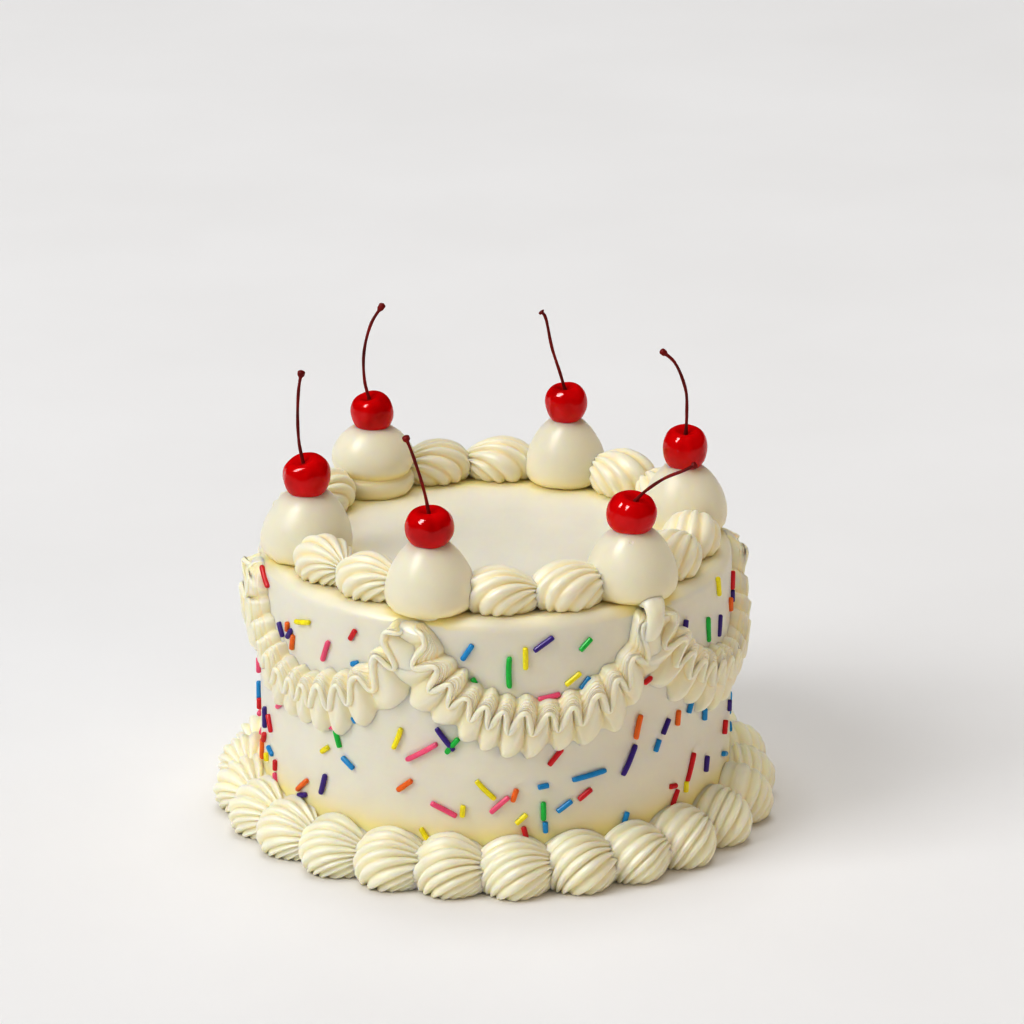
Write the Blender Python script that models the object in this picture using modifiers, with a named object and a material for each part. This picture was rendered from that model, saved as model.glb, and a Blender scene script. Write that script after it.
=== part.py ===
"""Round iced celebration cake, in metres, +Z up, standing on z = 0 with its axis on the Z axis.

The cake is one solid with sprinkles set in its side. On it lie six smooth icing dollops, each with a
stemmed cherry, two piped shells in each gap between dollops, six ruffled swags on the side and a
border of larger piped shells round the foot. Angles run counterclockwise seen from above, and 0 is
the front, at -Y.
"""

import math
import random

import bmesh
import bpy
from mathutils import Matrix, Vector

# the iced cake
CAKE_RADIUS = 0.0825
CAKE_HEIGHT = 0.0954
TOP_EDGE_RADIUS = 0.005
FOOT_EDGE = 0.001
CAKE_SEGMENTS = 64
GAP = 0.0003

# dollops and cherries: one of each at six places round the top
PLACES = 6
FIRST_PLACE_DEG = 40.5
PLACE_SHIFT_DEG = (-0.7, 0.5, -2.0, -1.5, 3.0, 1.8)
PLACE_RADIUS = (0.0705, 0.0675, 0.0692, 0.0705, 0.0672, 0.0715)
DOLLOP_RADIUS = (0.0156, 0.0150, 0.0144, 0.0150, 0.0160, 0.0154)
DOLLOP_HEIGHT = 0.0235
DOLLOP_FOOT = 0.80
COLLARED_DOLLOP = 3
DOLLOP_SEGMENTS = 16
CHERRY_RADIUS = (0.0084, 0.0080, 0.0075, 0.0076, 0.0083, 0.0082)
CHERRY_FLATNESS = 0.87
CHERRY_SEGMENTS = 12
BOWL_SHARE = 0.66
STEM_RADIUS = 0.0008
STEM_KNOB_RADIUS = 0.0015
STEM_POINTS = 6
# where each stem's tip lies from its foot, and how far its middle bows sideways, in metres
STEM_TIP = (
    (0.0217, -0.009, 0.0195),
    (-0.0100, -0.002, 0.0350),
    (-0.0092, 0.000, 0.0335),
    (0.0048, 0.002, 0.0385),
    (-0.0026, 0.001, 0.0365),
    (-0.0095, -0.002, 0.0310),
)
STEM_BOW = (0.0006, 0.0038, -0.0008, -0.0042, -0.0016, -0.0008)

# piped shells: length along the piping, width, height and how many lie in a row
TOP_SHELL = {"length": 0.0255, "width": 0.0215, "height": 0.0178, "ridges": 11}
TOP_SHELL_RADIUS = 0.0690
TOP_SHELL_STEP_DEG = 19.5
FOOT_SHELL = {"length": 0.0275, "width": 0.0322, "height": 0.0205, "ridges": 12}
FOOT_SHELLS = 25
FOOT_SHELL_RADIUS = 0.0845
FOOT_SHELL_FIRST_DEG = 4.3
SHELL_RINGS = 6
RIDGE_DEPTH = 0.0012
TAIL_TAPER = 0.38
TAIL_STRETCH = 0.25
SHELL_TILT_DEG = 18.0
TAIL_LIFT = 0.0015

# ruffled swags: one hangs between each two neighbouring places
SWAG_HALF_ANGLE_DEG = 23.9
SWAG_TOP = 0.0925
SWAG_DROP = 0.0342
SWAG_ROUNDNESS = 2.2
SWAG_WAVES = 16
SWAG_WAVE_SHIFT = 0.0016
SWAG_HALF_WIDTH = (0.0060, 0.0101)
SWAG_THICKNESS = (0.0050, 0.0079)
# the ruffle's section: across, from its upper edge down, and out from the wall, as shares
SWAG_SECTION = ((0.95, 0.0), (0.80, 0.62), (0.05, 0.94), (-0.66, 1.0), (-1.05, 0.58), (-0.90, 0.0))

# sprinkles in the side
SPRINKLE_SEED = 11
SPRINKLE_TRIES = 900
SPRINKLE_COUNT = 38
SPRINKLE_RADIUS = 0.00118
SPRINKLE_LENGTH = (0.0075, 0.0128)
SPRINKLE_SIDES = 6
SPRINKLE_LOW = 0.0245
SPRINKLE_HIGH = 0.0865
SPRINKLE_PROUD = 0.0004
SPRINKLE_SPACING = 0.0125
SPRINKLE_MARGIN = 0.0022

SWEEP_STEPS = 400
CUT_MARGIN = 0.0007


def clear_scene():
    for old in list(bpy.data.objects):
        bpy.data.objects.remove(old)


def new_collection(name, hidden=False):
    made = bpy.data.collections.new(name)
    bpy.context.scene.collection.children.link(made)
    made.hide_render = hidden
    return made


def new_material(name, colour, roughness):
    made = bpy.data.materials.new(name)
    made.use_nodes = True
    shader = made.node_tree.nodes["Principled BSDF"]
    shader.inputs["Base Color"].default_value = (*colour, 1.0)
    shader.inputs["Roughness"].default_value = roughness
    shader.inputs["Metallic"].default_value = 0.0
    return made


def object_of(name, bm, material, collection):
    """A named object from a bmesh, which is freed."""
    mesh = bpy.data.meshes.new(name)
    bm.to_mesh(mesh)
    bm.free()
    if material:
        mesh.materials.append(material)
    made = bpy.data.objects.new(name, mesh)
    collection.objects.link(made)
    return made


def ring_place(radius, angle, height=0.0):
    """A point at this radius and angle round the cake's axis."""
    return Vector((radius * math.sin(angle), -radius * math.cos(angle), height))


def turned(name, profile, segments, material, collection):
    """A solid turned about its own Z axis. The profile's (radius, height) points run from top to foot."""
    bm = bmesh.new()
    line = [bm.verts.new((radius, 0.0, height)) for radius, height in profile]
    for a, b in zip(line, line[1:]):
        bm.edges.new((a, b))
    made = object_of(name, bm, material, collection)
    screw = made.modifiers.new("Turn", "SCREW")
    screw.steps = segments
    screw.render_steps = segments
    screw.use_merge_vertices = True
    screw.merge_threshold = 0.00001
    return made


def applied(made):
    """Replaces an object's mesh with its evaluated one, and drops its modifiers."""
    bpy.context.view_layer.update()
    evaluated = made.evaluated_get(bpy.context.evaluated_depsgraph_get())
    mesh = bpy.data.meshes.new_from_object(evaluated)
    bm = bmesh.new()
    bm.from_mesh(mesh)
    bmesh.ops.remove_doubles(bm, verts=bm.verts, dist=0.000001)
    bm.to_mesh(mesh)
    bm.free()
    made.modifiers.clear()
    made.data = mesh
    return made


def cut_by(piece, cutter):
    cut = piece.modifiers.new("Cut", "BOOLEAN")
    cut.operation = "DIFFERENCE"
    cut.solver = "EXACT"
    cut.object = cutter


def arc(centre_radius, centre_height, radius, start_deg, end_deg, steps):
    """Points of an arc in the profile's plane, angles from the radial direction upwards."""
    found = []
    for i in range(steps + 1):
        angle = math.radians(start_deg + (end_deg - start_deg) * i / steps)
        found.append((centre_radius + radius * math.cos(angle), centre_height + radius * math.sin(angle)))
    return found


# the swag's route on the cake's side
def swag_point(middle, share):
    """Angle and height of a swag's centre line, share running from 0 to 1 along the sweep."""
    sweep = math.pi * (share - 0.5)
    across = math.copysign(abs(math.sin(sweep)) ** (2 / SWAG_ROUNDNESS), sweep)
    fall = abs(math.cos(sweep)) ** (2 / SWAG_ROUNDNESS)
    return middle + math.radians(SWAG_HALF_ANGLE_DEG) * across, SWAG_TOP - SWAG_DROP * fall


def swag_stations(middle, count):
    """Angle, height and direction of travel at points evenly spaced along a swag."""
    route = [swag_point(middle, i / SWEEP_STEPS) for i in range(SWEEP_STEPS + 1)]
    flat = [Vector((angle * CAKE_RADIUS, height)) for angle, height in route]
    run = [0.0]
    for a, b in zip(flat, flat[1:]):
        run.append(run[-1] + (b - a).length)
    found = []
    j = 0
    for i in range(count):
        wanted = run[-1] * i / (count - 1)
        while j < SWEEP_STEPS - 1 and run[j + 1] < wanted:
            j += 1
        share = (wanted - run[j]) / max(run[j + 1] - run[j], 1e-9)
        found.append((flat[j].lerp(flat[j + 1], share), (flat[j + 1] - flat[j]).normalized()))
    return found


def place_angle(i):
    return math.radians(FIRST_PLACE_DEG + 360 / PLACES * i + PLACE_SHIFT_DEG[i])


def swag_middle(i):
    return math.radians(FIRST_PLACE_DEG + 360 / PLACES * (i - 0.5))


def make_swag(i, material, collection):
    """A ruffle piped to and fro: sections alternate up and down along the swag, fuller at its middle."""
    stations = swag_stations(swag_middle(i), 2 * SWAG_WAVES + 1)
    bm = bmesh.new()
    rings = []
    for n, (point, along) in enumerate(stations):
        fullness = math.sin(math.pi * n / (len(stations) - 1)) ** 0.5
        half = SWAG_HALF_WIDTH[0] + (SWAG_HALF_WIDTH[1] - SWAG_HALF_WIDTH[0]) * fullness
        thick = SWAG_THICKNESS[0] + (SWAG_THICKNESS[1] - SWAG_THICKNESS[0]) * fullness
        wave = 1 if n % 2 else -1
        across = Vector((-along.y, along.x))
        ring = []
        for side, out in SWAG_SECTION:
            place = point + across * (side * half + wave * SWAG_WAVE_SHIFT * out)
            proud = out * thick * (1 + 0.13 * wave * (1 if side > 0 else -1))
            radius = CAKE_RADIUS + GAP * 1.3 + proud
            ring.append(bm.verts.new(ring_place(radius, place.x / CAKE_RADIUS, place.y)))
        rings.append(ring)
    for a, b in zip(rings, rings[1:]):
        for k in range(len(a)):
            bm.faces.new((a[k], b[k], b[(k + 1) % len(a)], a[(k + 1) % len(a)]))
    bm.faces.new(rings[0])
    bm.faces.new(rings[-1][::-1])
    bm.normal_update()
    bmesh.ops.recalc_face_normals(bm, faces=bm.faces)
    return object_of(f"swag_{i + 1:02d}", bm, material, collection)


# cherries, and the dollops that they sit on
def cherry_profile(radius):
    """The flesh from the dimple at its top to its foot, about its own centre."""
    half = radius * CHERRY_FLATNESS
    crown = [(0.0, half * 0.70), (radius * 0.16, half * 0.76), (radius * 0.40, half * 0.97)]
    flesh = [(radius * x, half * z) for x, z in arc(0.0, 0.0, 1.0, 52, -62, 5)]
    return crown + flesh + [(radius * 0.24, -half * 0.985), (0.0, -half)]


def cherry_underside(radius, share):
    """Height of the flesh below its centre, at this share of its radius."""
    return -radius * CHERRY_FLATNESS * math.sqrt(max(0.0, 1.0 - share * share))


def cherry_height(i):
    """Height of a cherry's centre: it sits in a bowl in the top of its dollop."""
    return CAKE_HEIGHT + GAP + DOLLOP_HEIGHT - cherry_underside(CHERRY_RADIUS[i], BOWL_SHARE)


def dollop_profile(i, grow=0.0):
    """A smooth piped ball with a foot, and a bowl in its top that fits the cherry."""
    radius = DOLLOP_RADIUS[i]
    bowl = CHERRY_RADIUS[i] * BOWL_SHARE
    top = DOLLOP_HEIGHT
    centre = cherry_height(i) - CAKE_HEIGHT - GAP
    outline = [(0.0, centre + cherry_underside(CHERRY_RADIUS[i], 0.0) - 2 * GAP)]
    outline.append((bowl * 0.62, centre + cherry_underside(CHERRY_RADIUS[i], BOWL_SHARE * 0.62) - 2 * GAP))
    outline.append((bowl, top - 2 * GAP))
    outline.append((bowl + 0.0010, top - 0.0004))
    belly = top * 0.42
    for step in (0.38, 0.60, 0.82, 1.0):
        height = top - 0.0004 - (top - belly) * (1 - math.cos(step * math.pi / 2))
        reach = bowl + 0.001 + (radius - bowl - 0.001) * math.sin(step * math.pi / 2)
        outline.append((reach, height))
    if i == COLLARED_DOLLOP:
        outline += [(radius * 0.97, belly * 0.80), (radius * 0.90, belly * 0.66), (radius * 0.94, belly * 0.45)]
        outline += [(radius * 0.91, belly * 0.18)]
    else:
        outline += [(radius * 0.985, belly * 0.62), (radius * 0.92, belly * 0.28)]
    outline.append((radius * DOLLOP_FOOT, 0.0))
    if grow:
        outline = [(0.0, top + grow)] + [(x + grow, z) for x, z in outline[3:]]
        outline[-1] = (outline[-1][0], -grow)
    outline.append((0.0, -grow))
    return outline


def stem_line(i):
    """Points of a stem, from inside its cherry's dimple to its tip."""
    tip = Vector(STEM_TIP[i])
    side = Vector((1.0, 0.0, 0.0)) * STEM_BOW[i]
    foot = Vector((0.0, 0.0, CHERRY_RADIUS[i] * CHERRY_FLATNESS * 0.35))
    found = []
    for k in range(STEM_POINTS):
        share = k / (STEM_POINTS - 1)
        found.append(foot + tip * share + side * math.sin(math.pi * share))
    return found


def make_cherry(i, material, collection):
    """A cherry and its stem, in one piece."""
    flesh = turned(f"cherry_{i + 1:02d}", cherry_profile(CHERRY_RADIUS[i]), CHERRY_SEGMENTS, material, collection)
    applied(flesh)
    line = stem_line(i)
    curve = bpy.data.curves.new("stem", "CURVE")
    curve.dimensions = "3D"
    curve.bevel_depth = STEM_RADIUS
    curve.bevel_resolution = 1
    curve.use_fill_caps = True
    spline = curve.splines.new("POLY")
    spline.points.add(len(line) - 1)
    for point, place in zip(spline.points, line):
        point.co = (*place, 1.0)
    spline.points[-1].radius = STEM_KNOB_RADIUS / STEM_RADIUS
    spline.points[0].radius = 1.3
    stem = bpy.data.objects.new("stem", curve)
    collection.objects.link(stem)
    bpy.context.view_layer.update()
    evaluated = stem.evaluated_get(bpy.context.evaluated_depsgraph_get())
    tube = bpy.data.meshes.new_from_object(evaluated)
    bm = bmesh.new()
    bm.from_mesh(tube)
    bmesh.ops.remove_doubles(bm, verts=bm.verts, dist=0.000001)
    bm.normal_update()
    bmesh.ops.recalc_face_normals(bm, faces=bm.faces)
    joined = object_of("stem_tube", bm, material, collection)
    bpy.data.objects.remove(stem)
    union = flesh.modifiers.new("Stem", "BOOLEAN")
    union.operation = "UNION"
    union.solver = "EXACT"
    union.object = joined
    applied(flesh)
    bpy.data.objects.remove(joined)
    flesh.location = ring_place(PLACE_RADIUS[i], place_angle(i), cherry_height(i))
    return flesh


def make_dollop(i, material, collection):
    made = turned(f"dollop_{i + 1:02d}", dollop_profile(i), DOLLOP_SEGMENTS, material, collection)
    made.location = ring_place(PLACE_RADIUS[i], place_angle(i), CAKE_HEIGHT + GAP)
    return made


def dollop_cutter(i, collection):
    made = turned(f"dollop_cutter_{i}", dollop_profile(i, CUT_MARGIN), DOLLOP_SEGMENTS, None, collection)
    made.location = ring_place(PLACE_RADIUS[i], place_angle(i), CAKE_HEIGHT + GAP)
    return made


# piped shells
def shell_mesh(form, grow=0.0):
    """A ball drawn out to a tail: ridges fan from the tail tip at +X over the head, down to the foot.

    With grow it is the smooth outer form, that much larger, which cuts the neighbour's tail.
    """
    ridges = form["ridges"]
    bm = bmesh.new()
    bmesh.ops.create_uvsphere(bm, u_segments=2 * ridges if not grow else 16, v_segments=SHELL_RINGS, radius=1.0)
    tilt = math.radians(SHELL_TILT_DEG)
    tail = (1 + TAIL_STRETCH) * form["length"] / 2
    centre = TAIL_LIFT - tail * math.sin(tilt)
    rise = form["height"] - centre
    for vert in bm.verts:
        along = vert.co.z
        ring = math.hypot(vert.co.x, vert.co.y)
        turn = math.atan2(vert.co.y, vert.co.x)
        girth = ring * (1 - TAIL_TAPER * along) / 1.06
        girth_y = girth * (form["width"] / 2 + grow)
        girth_z = girth * (rise + grow)
        if not grow:
            groove = RIDGE_DEPTH / 2 * (math.cos(ridges * turn) - 1) * min(1.0, 1.6 * ring)
            girth_y += groove
            girth_z += groove
        reach = along * (1 + TAIL_STRETCH * max(along, 0.0)) * (form["length"] / 2 + grow)
        vert.co = Vector((reach, girth_y * math.sin(turn), girth_z * math.cos(turn)))
    bm.transform(Matrix.Rotation(-tilt, 4, "Y"))
    bm.transform(Matrix.Translation((0.0, 0.0, centre)))
    bm.normal_update()
    bmesh.ops.recalc_face_normals(bm, faces=bm.faces)
    return bm


def flatten_foot(bm):
    """Cuts the form off at z = 0 and closes its foot."""
    everything = list(bm.verts) + list(bm.edges) + list(bm.faces)
    bmesh.ops.bisect_plane(bm, geom=everything, dist=0.000001, plane_co=(0, 0, 0), plane_no=(0, 0, 1), clear_inner=True)
    rim = [edge for edge in bm.edges if edge.is_boundary]
    bmesh.ops.edgenet_fill(bm, edges=rim)
    bm.normal_update()
    bmesh.ops.recalc_face_normals(bm, faces=bm.faces)


def make_shell(name, form, radius, angle, height, size, material, collection):
    """A shell whose tail points counterclockwise round the cake."""
    bm = shell_mesh(form)
    bm.transform(Matrix.Diagonal((size, size, size, 1.0)))
    flatten_foot(bm)
    made = object_of(name, bm, material, collection)
    made.location = ring_place(radius, angle, height)
    made.rotation_euler.z = angle
    return made


def shell_cutter(form, radius, angle, height, size, collection):
    bm = shell_mesh(form, CUT_MARGIN)
    bm.transform(Matrix.Diagonal((size, size, size, 1.0)))
    made = object_of("shell_cutter", bm, None, collection)
    made.location = ring_place(radius, angle, height)
    made.rotation_euler.z = angle
    return made


def make_top_shells(dollop_cutters, material, collection, cutters):
    for i in range(PLACES):
        before = place_angle(i)
        after = place_angle((i + 1) % PLACES) + (2 * math.pi if i == PLACES - 1 else 0.0)
        middle = (before + after) / 2 - math.radians(0.6)
        half_step = math.radians(TOP_SHELL_STEP_DEG) / 2
        pair = []
        for n, angle in enumerate((middle - half_step, middle + half_step)):
            size = 1.0 + 0.03 * math.sin(2.4 * (2 * i + n))
            spot = (TOP_SHELL, TOP_SHELL_RADIUS, angle, CAKE_HEIGHT + GAP, size)
            shell = make_shell(f"top_shell_{2 * i + n + 1:02d}", *spot, material, collection)
            cut_by(shell, dollop_cutters[i if n == 0 else (i + 1) % PLACES])
            pair.append((shell, spot))
        cut_by(pair[0][0], shell_cutter(*pair[1][1], cutters))


def make_foot_shells(material, collection, cutters):
    """The border at the foot: each head covers the tail before it, and all lean on the cake's side."""
    wall_profile = [(0.0, CAKE_HEIGHT), (CAKE_RADIUS + GAP * 1.3, CAKE_HEIGHT)]
    wall_profile += [(CAKE_RADIUS + GAP * 1.3, -CAKE_HEIGHT), (0.0, -CAKE_HEIGHT)]
    wall = turned("wall_cutter", wall_profile, CAKE_SEGMENTS, None, cutters)
    spots = []
    for n in range(FOOT_SHELLS):
        angle = math.radians(FOOT_SHELL_FIRST_DEG + 360 / FOOT_SHELLS * n + 0.5 * math.sin(1.7 * n))
        size = 1.0 + 0.025 * math.sin(2.9 * n)
        spots.append((FOOT_SHELL, FOOT_SHELL_RADIUS, angle, 0.0, size))
    for n, spot in enumerate(spots):
        shell = make_shell(f"foot_shell_{n + 1:02d}", *spot, material, collection)
        cut_by(shell, wall)
        cut_by(shell, shell_cutter(*spots[(n + 1) % FOOT_SHELLS], cutters))


# sprinkles
def swag_clearance(angle, height, route):
    """Distance on the unrolled side from a point to the nearest swag's centre line, and its half width."""
    best = (1.0, 0.0)
    turn = 2 * math.pi * CAKE_RADIUS
    for n, (point, _) in enumerate(route):
        sideways = (angle * CAKE_RADIUS - point.x + turn / 2) % turn - turn / 2
        away = math.hypot(sideways, height - point.y)
        fullness = math.sin(math.pi * (n % 41) / 40) ** 0.5
        half = SWAG_HALF_WIDTH[0] + (SWAG_HALF_WIDTH[1] - SWAG_HALF_WIDTH[0]) * fullness
        if away - half < best[0] - best[1]:
            best = (away, half)
    return best[0] - best[1]


def sprinkle_places():
    """Seeded places for the longest sprinkles, spread evenly and clear of swags and border."""
    draw = random.Random(SPRINKLE_SEED)
    route = [station for i in range(PLACES) for station in swag_stations(swag_middle(i), 41)]
    taken = []
    for _ in range(SPRINKLE_TRIES):
        angle = draw.uniform(0, 2 * math.pi)
        height = draw.uniform(SPRINKLE_LOW, SPRINKLE_HIGH)
        lean = draw.uniform(0, math.pi)
        length = draw.uniform(*SPRINKLE_LENGTH)
        across = math.cos(lean) * length / 2 / CAKE_RADIUS
        up = math.sin(lean) * length / 2
        if not SPRINKLE_LOW < height - up < height + up < SPRINKLE_HIGH:
            continue
        spots = [(angle + k * across, height + k * up) for k in (-1, -0.5, 0, 0.5, 1)]
        if min(swag_clearance(*spot, route) for spot in spots) < SPRINKLE_MARGIN:
            continue
        here = ring_place(CAKE_RADIUS, angle, height)
        if any((here - ring_place(CAKE_RADIUS, *other[:2])).length < SPRINKLE_SPACING for other in taken):
            continue
        taken.append((angle, height, lean, length))
        if len(taken) == SPRINKLE_COUNT:
            break
    return taken


def make_cake(icing, collection):
    """The iced cake: a turned body with the sprinkles fused to its side."""
    top = CAKE_HEIGHT
    edge = CAKE_RADIUS - TOP_EDGE_RADIUS
    profile = [(0.0, top)] + arc(edge, top - TOP_EDGE_RADIUS, TOP_EDGE_RADIUS, 90, 0, 3)
    profile += [(CAKE_RADIUS, FOOT_EDGE), (CAKE_RADIUS - FOOT_EDGE, 0.0), (0.0, 0.0)]
    cake = turned("cake", profile, CAKE_SEGMENTS, icing, collection)
    applied(cake)
    loose = new_collection("loose_sprinkles")
    for angle, height, lean, length in sprinkle_places():
        bm = bmesh.new()
        size = SPRINKLE_RADIUS
        bmesh.ops.create_cone(
            bm, cap_ends=True, segments=SPRINKLE_SIDES, radius1=size, radius2=size, depth=length
        )
        bm.transform(Matrix.Rotation(math.pi / 2 - lean, 4, "Y"))
        sprinkle = object_of("sprinkle", bm, icing, loose)
        sprinkle.location = ring_place(CAKE_RADIUS + SPRINKLE_PROUD, angle, height)
        sprinkle.rotation_euler.z = angle
    union = cake.modifiers.new("Sprinkles", "BOOLEAN")
    union.operation = "UNION"
    union.solver = "EXACT"
    union.operand_type = "COLLECTION"
    union.collection = loose
    applied(cake)
    for sprinkle in list(loose.objects):
        bpy.data.objects.remove(sprinkle)
    bpy.data.collections.remove(loose)
    return cake


def main():
    clear_scene()
    parts = new_collection("iced_cake")
    cutters = new_collection("cutters", hidden=True)
    icing = new_material("icing", (0.90, 0.84, 0.68), 0.42)
    piping = new_material("piping", (0.92, 0.86, 0.69), 0.45)
    cherry = new_material("cherry", (0.60, 0.01, 0.015), 0.12)
    make_cake(icing, parts)
    dollop_cutters = []
    for i in range(PLACES):
        make_dollop(i, piping, parts)
        make_cherry(i, cherry, parts)
        make_swag(i, piping, parts)
        dollop_cutters.append(dollop_cutter(i, cutters))
    make_top_shells(dollop_cutters, piping, parts, cutters)
    make_foot_shells(piping, parts, cutters)
    for cutter in cutters.objects:
        cutter.hide_render = True
        cutter.display_type = "WIRE"


main()
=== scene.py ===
"""Looks of a round iced cake: finely shaped icing, piping, cherries and sprinkles over the CAD frame.

Metres, +Z up, standing on z = 0. Angles run counterclockwise seen from above, and 0 is the front, at -Y.
"""

import math
import random

import bmesh
import bpy
import numpy as np
from mathutils import Matrix, Vector


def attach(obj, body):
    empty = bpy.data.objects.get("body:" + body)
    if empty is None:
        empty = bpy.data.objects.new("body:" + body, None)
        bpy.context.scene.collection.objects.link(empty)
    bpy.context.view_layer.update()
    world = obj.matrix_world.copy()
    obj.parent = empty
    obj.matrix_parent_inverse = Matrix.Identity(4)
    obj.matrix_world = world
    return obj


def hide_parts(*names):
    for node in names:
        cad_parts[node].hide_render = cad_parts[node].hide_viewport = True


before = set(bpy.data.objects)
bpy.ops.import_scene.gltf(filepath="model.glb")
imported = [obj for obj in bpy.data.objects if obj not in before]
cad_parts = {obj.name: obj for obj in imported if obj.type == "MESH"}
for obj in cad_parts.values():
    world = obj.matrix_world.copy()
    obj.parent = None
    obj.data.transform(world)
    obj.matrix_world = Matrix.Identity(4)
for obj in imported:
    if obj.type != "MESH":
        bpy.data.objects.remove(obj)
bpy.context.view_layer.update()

# the iced cake
CAKE_RADIUS = 0.0825
CAKE_HEIGHT = 0.0954
TOP_EDGE_RADIUS = 0.0046
PLACES = 6
MERGE_DISTANCE = 0.000002

# dollops and cherries
FIRST_PLACE_DEG = 40.5
PLACE_SHIFT_DEG = (0.1, 0.5, -2.0, -1.9, 3.1, 1.8)
PLACE_RADIUS = (0.0714, 0.0675, 0.0692, 0.0702, 0.0666, 0.0715)
DOLLOP_RADIUS = (0.0156, 0.0150, 0.0144, 0.0150, 0.0160, 0.0154)
DOLLOP_HEIGHT = 0.0238
DOLLOP_OUTLINE = (
    (0.00, 1.02), (0.22, 1.015), (0.40, 0.98), (0.54, 0.915), (0.67, 0.82), (0.80, 0.69), (0.90, 0.56),
    (0.965, 0.43), (1.0, 0.30), (0.995, 0.19), (0.95, 0.10), (0.87, 0.04), (0.78, 0.01), (0.74, 0.0),
)
COLLAR_OUTLINE = (
    (0.00, 1.02), (0.22, 1.02), (0.42, 0.995), (0.57, 0.945), (0.71, 0.87), (0.84, 0.77), (0.94, 0.65),
    (0.98, 0.54), (0.965, 0.44), (0.90, 0.345), (0.86, 0.30), (0.93, 0.265), (0.985, 0.19), (0.97, 0.09),
    (0.91, 0.02), (0.88, 0.0),
)
COLLARED_DOLLOP = 3
CHERRY_RADIUS = (0.0086, 0.0080, 0.0074, 0.0075, 0.0084, 0.0084)
CHERRY_FLATNESS = (0.86, 1.02, 1.05, 0.99, 0.90, 0.88)
CHERRY_BOTTOM = 0.1174
# how far each cherry leans, in degrees: to the right, and to the front
CHERRY_LEAN_DEG = ((9, 8), (2, 9), (-5, 5), (-12, 8), (-13, 11), (-2, 3))
# each stem's route from its dimple, in mm: to the right, away from the front, and up
STEM_ROUTES = (
    ((0, 0, 0), (4.0, -1.5, 4.6), (10.2, -4.5, 10.0), (16.6, -7.5, 13.8), (20.6, -9.0, 16.4)),
    ((0, 0, 0), (0.3, 0, 8.0), (-0.2, -0.5, 17.0), (-3.8, -1.0, 26.6), (-9.1, -2.0, 32.0)),
    ((0, 0, 0), (-2.0, 0, 7.0), (-4.9, 0, 16.5), (-7.0, 0, 27.0), (-8.9, 0, 29.9)),
    ((0, 0, 0), (-1.8, 0, 8.0), (-1.9, 0.5, 18.0), (0.6, 1.2, 28.2), (5.2, 2.0, 35.8)),
    ((0, 0, 0), (-1.5, 0, 8.0), (-1.9, 0.5, 17.0), (-1.5, 1.0, 26.5), (-0.3, 1.0, 33.9)),
    ((0, 0, 0), (-1.3, 0, 7.0), (-3.3, -0.6, 14.8), (-5.7, -1.2, 22.6), (-7.9, -2.0, 28.7)),
)
STEM_RADIUS = 0.00054

# piped shells: "head_deg" is how far off plumb the ridges start, and "middle" how high up the shell is widest
TOP_SHELL = {
    "length": 0.0266, "width": 0.0216, "height": 0.0152, "ridges": 20, "head_deg": 14, "middle": 0.37,
}
TOP_SHELL_RADIUS = 0.0690
TOP_SHELL_STEP_DEG = 19.5
FOOT_SHELL = {
    "length": 0.0272, "width": 0.0300, "height": 0.0190, "ridges": 27, "head_deg": -17, "middle": 0.36,
}
FOOT_SHELLS = 25
FOOT_SHELL_RADIUS = 0.0848
FOOT_SHELL_FIRST_DEG = 4.3
GROOVE_DEPTH = 0.145
SAMPLES_PER_RIDGE = 6

# ruffled swags
SWAG_SHIFT_DEG = -0.8
SWAG_HALF_ANGLE_DEG = 27.4
SWAG_TOP = 0.0938
SWAG_DROP = 0.0333
SWAG_ROUNDNESS = 2.05
SWAG_WAVES = 13
# across a swag, in mm: its edges above and below the cord, the rise of each wave, and how far it stands
# out from the side at each wave's crest and in the crease between two waves
SWAG_EDGES = {"top": 6.9, "top_wave": 1.2, "foot": 12.4, "foot_wave": 1.8}
CORD = {"rise": 4.3, "half": 1.16, "peak": 7.6, "valley": 6.0}
ARCHES = {"ridges": 5, "crest": 6.6, "crease": 3.2, "ridge": 0.62}
TONGUES = {"crest": 5.8, "crease": 2.3}

# the curl over the join of two swags: distance from the cake's axis, sideways and height, in mm
CURL_PLACE = 0
CURL_SHIFT_DEG = 0.6
CURL_ROUTE = (
    (80.6, 2.0, 94.6), (83.0, 1.8, 96.6), (86.0, 1.2, 96.4), (88.4, 0.2, 92.8), (88.9, -1.0, 88.2),
    (86.9, -1.9, 83.6),
)

# the dab of icing under the front left dollop, and its half sizes: across, inward and up
DAB_DEG = -16.3
DAB_RADIUS = 0.0812
DAB_SIZE = (0.0040, 0.0019, 0.0012)

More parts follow.
